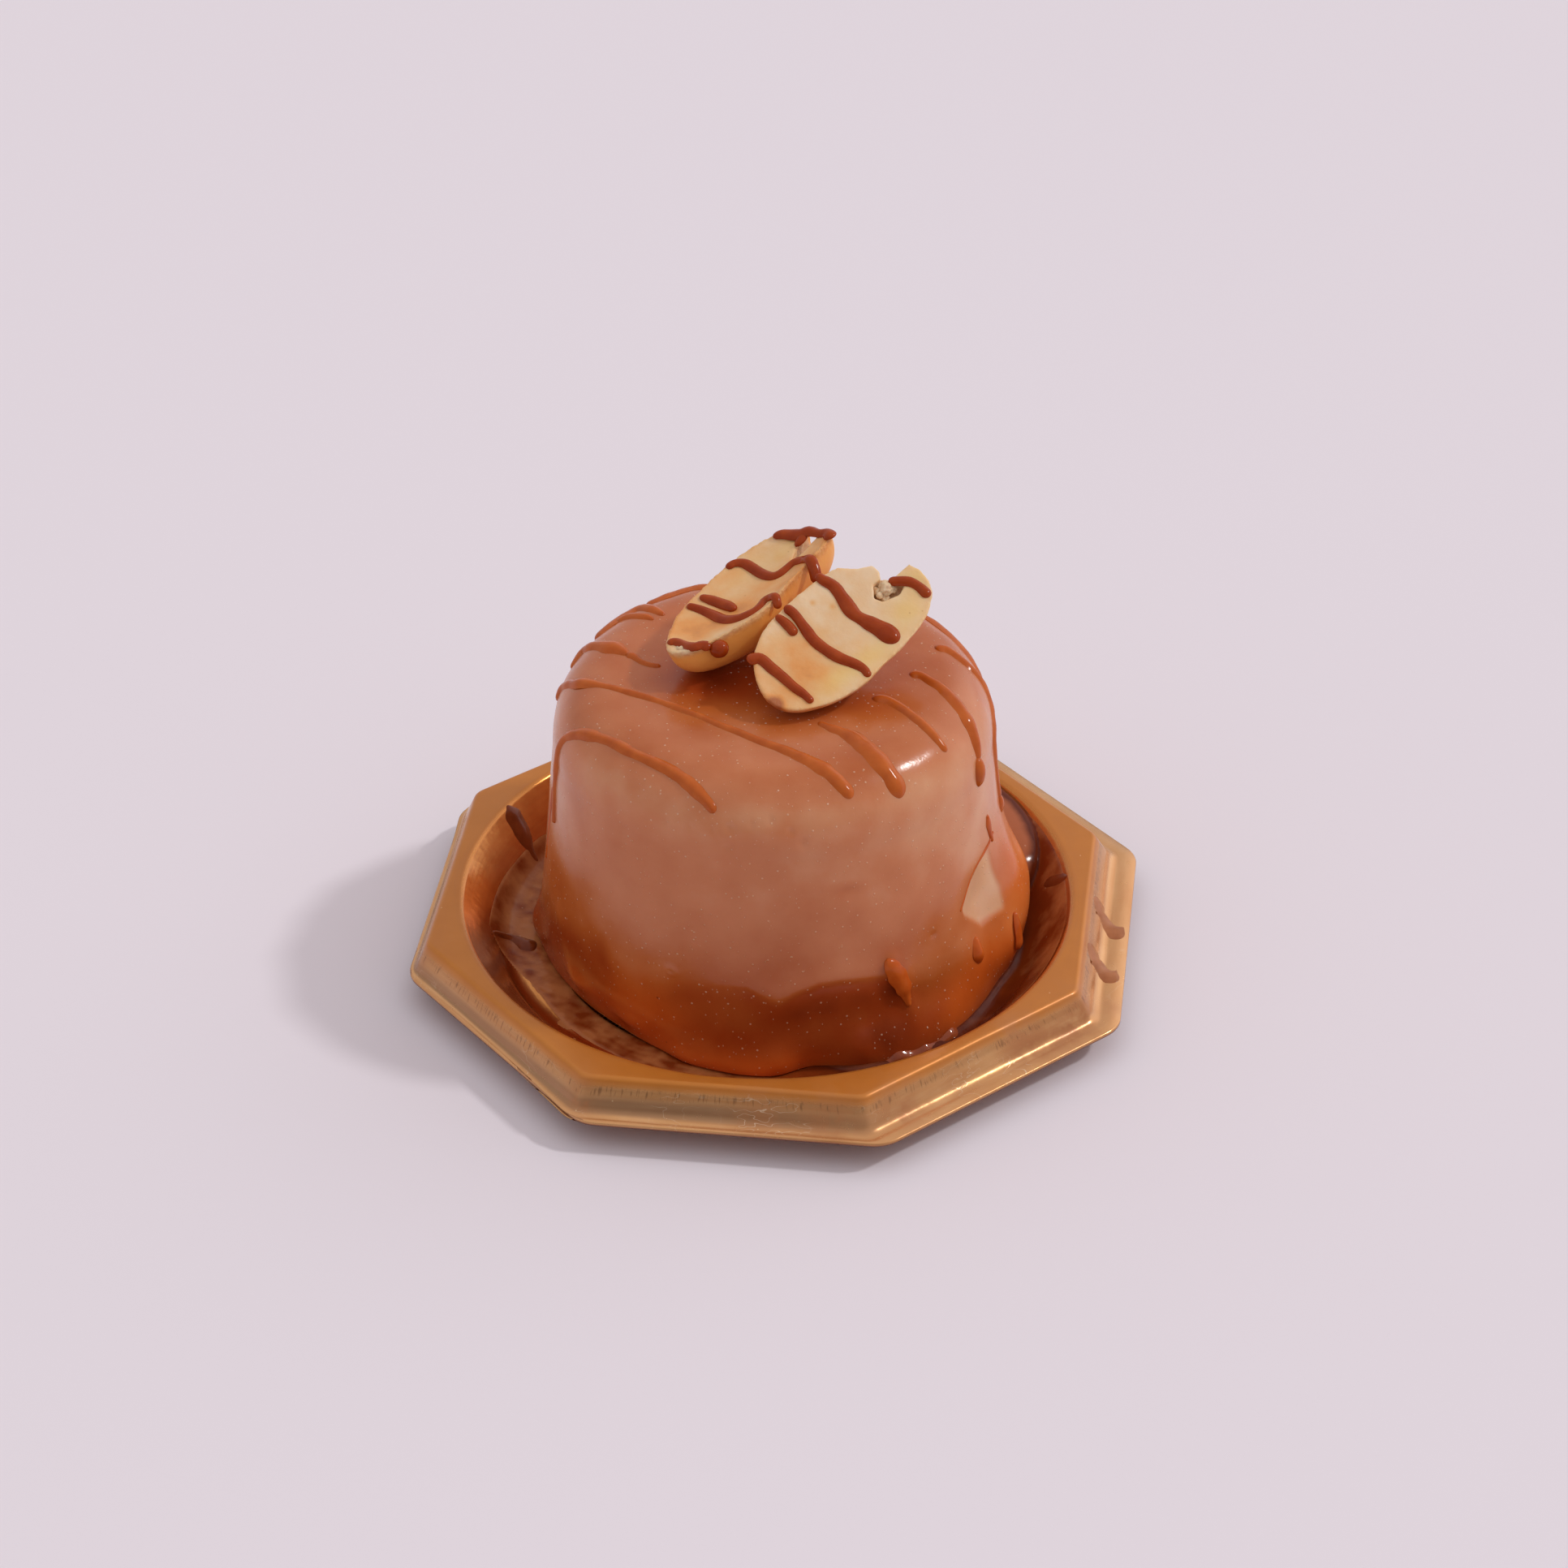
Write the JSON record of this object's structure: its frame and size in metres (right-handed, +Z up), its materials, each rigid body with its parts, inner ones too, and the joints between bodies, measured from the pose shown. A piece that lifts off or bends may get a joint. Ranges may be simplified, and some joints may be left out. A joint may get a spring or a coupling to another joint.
{
  "type": "peanut mousse in dish",
  "caption": "Small round caramel-glazed mousse in a gold octagonal dish, with peanut halves and a drizzle on top.",
  "frame": {"origin": "on the table, under the middle of the dish's cut edge", "axes": "+Z up; the front, where the thinner left nut ends and the glaze has gathered, faces -Y; +X to the right"},
  "size_m": [0.07, 0.07, 0.0413],
  "materials": {
    "gold_sheet": "mirror-like gold metallised sheet, finely scratched",
    "caramel_glaze": "glossy translucent caramel glaze with small bubbles",
    "peanut": "satin roasted kernel, cream to golden"
  },
  "bodies": {
    "root": {"dish": "gold_sheet", "mousse": "caramel_glaze", "nut_left": "peanut", "nut_right": "peanut"}
  },
  "joints": []
}
